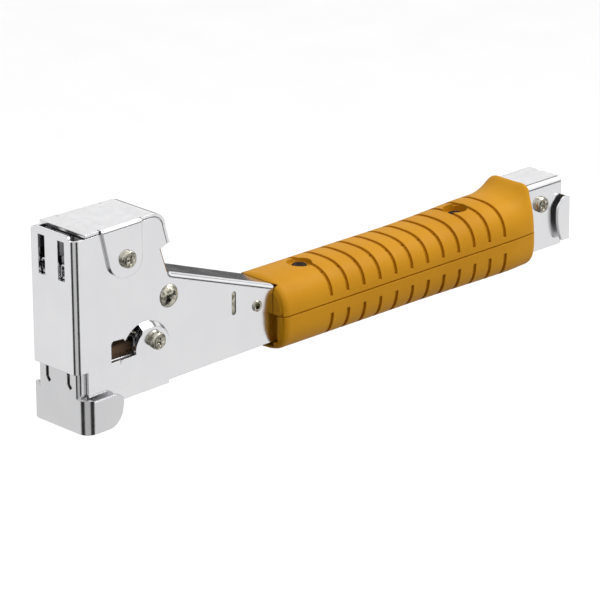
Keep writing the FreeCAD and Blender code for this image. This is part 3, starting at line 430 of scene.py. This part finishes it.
# ---------------------------------------------------------------- light
class Sky(Tree):
    """The world's node tree: grey levels over the level direction and the height looked at."""

    def __init__(self, tree):
        super().__init__(tree)
        direction = self.add("ShaderNodeTexCoord", {}).outputs["Generated"]
        level = self.add("ShaderNodeVectorMath", {0: direction, 1: (1.0, 1.0, 0.0)}, operation="MULTIPLY")
        flat = self.add("ShaderNodeVectorMath", {0: level.outputs[0]}, operation="NORMALIZE")
        self.flat = flat.outputs[0]
        self.height = self.add("ShaderNodeSeparateXYZ", {"Vector": direction}).outputs["Z"]

    def toward(self, axis):
        """Cosine between the level direction and axis."""
        made = self.add("ShaderNodeVectorMath", {0: self.flat, 1: axis}, operation="DOT_PRODUCT")
        return made.outputs["Value"]

    def ramp(self, value, start, end, low, high):
        made = self.add("ShaderNodeMapRange", {"Value": value, "From Min": start, "From Max": end,
                                               "To Min": low, "To Max": high},
                        interpolation_type="SMOOTHSTEP")
        return made.outputs[0]

    def rise(self, value, start, end, low=0.0):
        return self.ramp(value, start, end, low, 1.0)

    def fall(self, value, start, end, low=0.0):
        return self.ramp(value, start, end, 1.0, low)

    def times(self, first, second):
        return self.add("ShaderNodeMath", {0: first, 1: second}, operation="MULTIPLY").outputs[0]

    def blend(self, share, first, second):
        made = self.add("ShaderNodeMix", {0: share, 2: first, 3: second}, data_type="FLOAT")
        return made.outputs[0]

    def panel(self, room, around, upright, grey):
        """Room with a grey panel where both shares, around the part and up, are 1."""
        return self.blend(self.times(around, upright), room, grey)


def mirrored_room(sky):
    """What bright metal sees: white walls with dark gaps, as in a light tent with an opening."""
    height = sky.height
    room = sky.ramp(height, -0.5, 0.8, 0.86, 1.13)
    near_left = sky.toward((-0.69, -0.724, 0.0))
    opening = sky.times(sky.rise(near_left, 0.30, 0.42), sky.fall(near_left, 0.84, 0.92, low=0.35))
    room = sky.panel(room, opening, sky.fall(height, -0.05, 0.22), 0.03)
    behind = sky.rise(sky.toward((0.707, 0.707, 0.0)), 0.55, 0.80)
    under = sky.times(sky.fall(height, 0.02, 0.10), sky.rise(height, -0.32, -0.26, low=0.25))
    room = sky.panel(room, behind, under, 0.10)
    past_handle = sky.rise(sky.toward((0.90, 0.44, 0.0)), 0.80, 0.90)
    beam = sky.times(sky.rise(height, 0.38, 0.41), sky.fall(height, 0.56, 0.62))
    room = sky.panel(room, past_handle, beam, 0.06)
    near_right = sky.rise(sky.toward((0.65, -0.76, 0.0)), 0.70, 0.85)
    skirt = sky.times(sky.rise(height, -0.16, -0.12), sky.fall(height, 0.10, 0.15))
    return sky.panel(room, near_right, skirt, 0.06)


def soft_room(sky):
    """What dull surfaces are lit by: most from above and from the right, least from the front."""
    height = sky.height
    above = sky.ramp(height, -0.7, 0.9, 0.62, 1.30)
    right = sky.ramp(sky.toward((0.45, -0.89, 0.0)), -1.0, 1.0, 0.62, 1.18)
    front = sky.rise(sky.toward((-1.0, 0.0, 0.0)), -0.1, 0.7)
    return sky.panel(sky.times(above, right), front, sky.fall(height, 0.3, 0.8), 0.10)


def make_world():
    """White to the camera, the soft room to diffuse rays and the mirrored room to glossy ones."""
    world = bpy.data.worlds.new("studio")
    world.use_nodes = True
    sky = Sky(world.node_tree)
    ray = sky.add("ShaderNodeLightPath", {})
    lit = sky.blend(ray.outputs["Is Diffuse Ray"], 1.0, soft_room(sky))
    seen = sky.blend(ray.outputs["Is Glossy Ray"], lit, mirrored_room(sky))
    sky.put(world.node_tree.nodes["Background"].inputs["Color"], seen)
    scene.world = world


def softbox(name, direction, distance, size, power):
    """Rectangular lamp that looks at the middle of the part."""
    light = bpy.data.lights.new(name, "AREA")
    light.shape = "RECTANGLE"
    light.size, light.size_y = size
    light.energy = power
    lamp = add_object(name, light)
    low, high = cad_box
    middle = (Vector(low) + Vector(high)) / 2
    aim = Vector(direction).normalized()
    lamp.location = middle + aim * distance
    lamp.rotation_mode = "QUATERNION"
    lamp.rotation_quaternion = aim.to_track_quat("Z", "Y")


# ---------------------------------------------------------------- camera
AZIMUTH = math.radians(-43.6)
ELEVATION = math.radians(20.3)
ROLL = math.radians(-0.33)
DISTANCE = 1.9
LENS = 240.0                  # mm, on a 36 mm sensor
AIM = (91.454 * MM, -73.529 * MM, 60.525 * MM)     # from the foot of the part's front


def make_camera():
    """Long lens that looks down on the tool from the left of its head."""
    data = bpy.data.cameras.new("camera")
    data.lens = LENS
    data.sensor_width = 36.0
    data.clip_start, data.clip_end = 0.1, 30.0
    camera = add_object("camera", data)
    back = Vector((math.sin(AZIMUTH) * math.cos(ELEVATION), -math.cos(AZIMUTH) * math.cos(ELEVATION),
                   math.sin(ELEVATION)))
    low = cad_box[0]
    aim = Vector((low[0], 0, low[2])) + Vector(AIM)
    camera.location = aim + back * DISTANCE
    camera.rotation_mode = "QUATERNION"
    camera.rotation_quaternion = (-back).to_track_quat("-Z", "Y") @ Quaternion((0, 0, 1), ROLL)
    scene.camera = camera


scene.view_settings.view_transform = "Standard"
make_camera()
make_floor()
make_world()
softbox("key", direction=(0.55, -0.30, 0.78), distance=1.1, size=(0.7, 0.5), power=5.0)
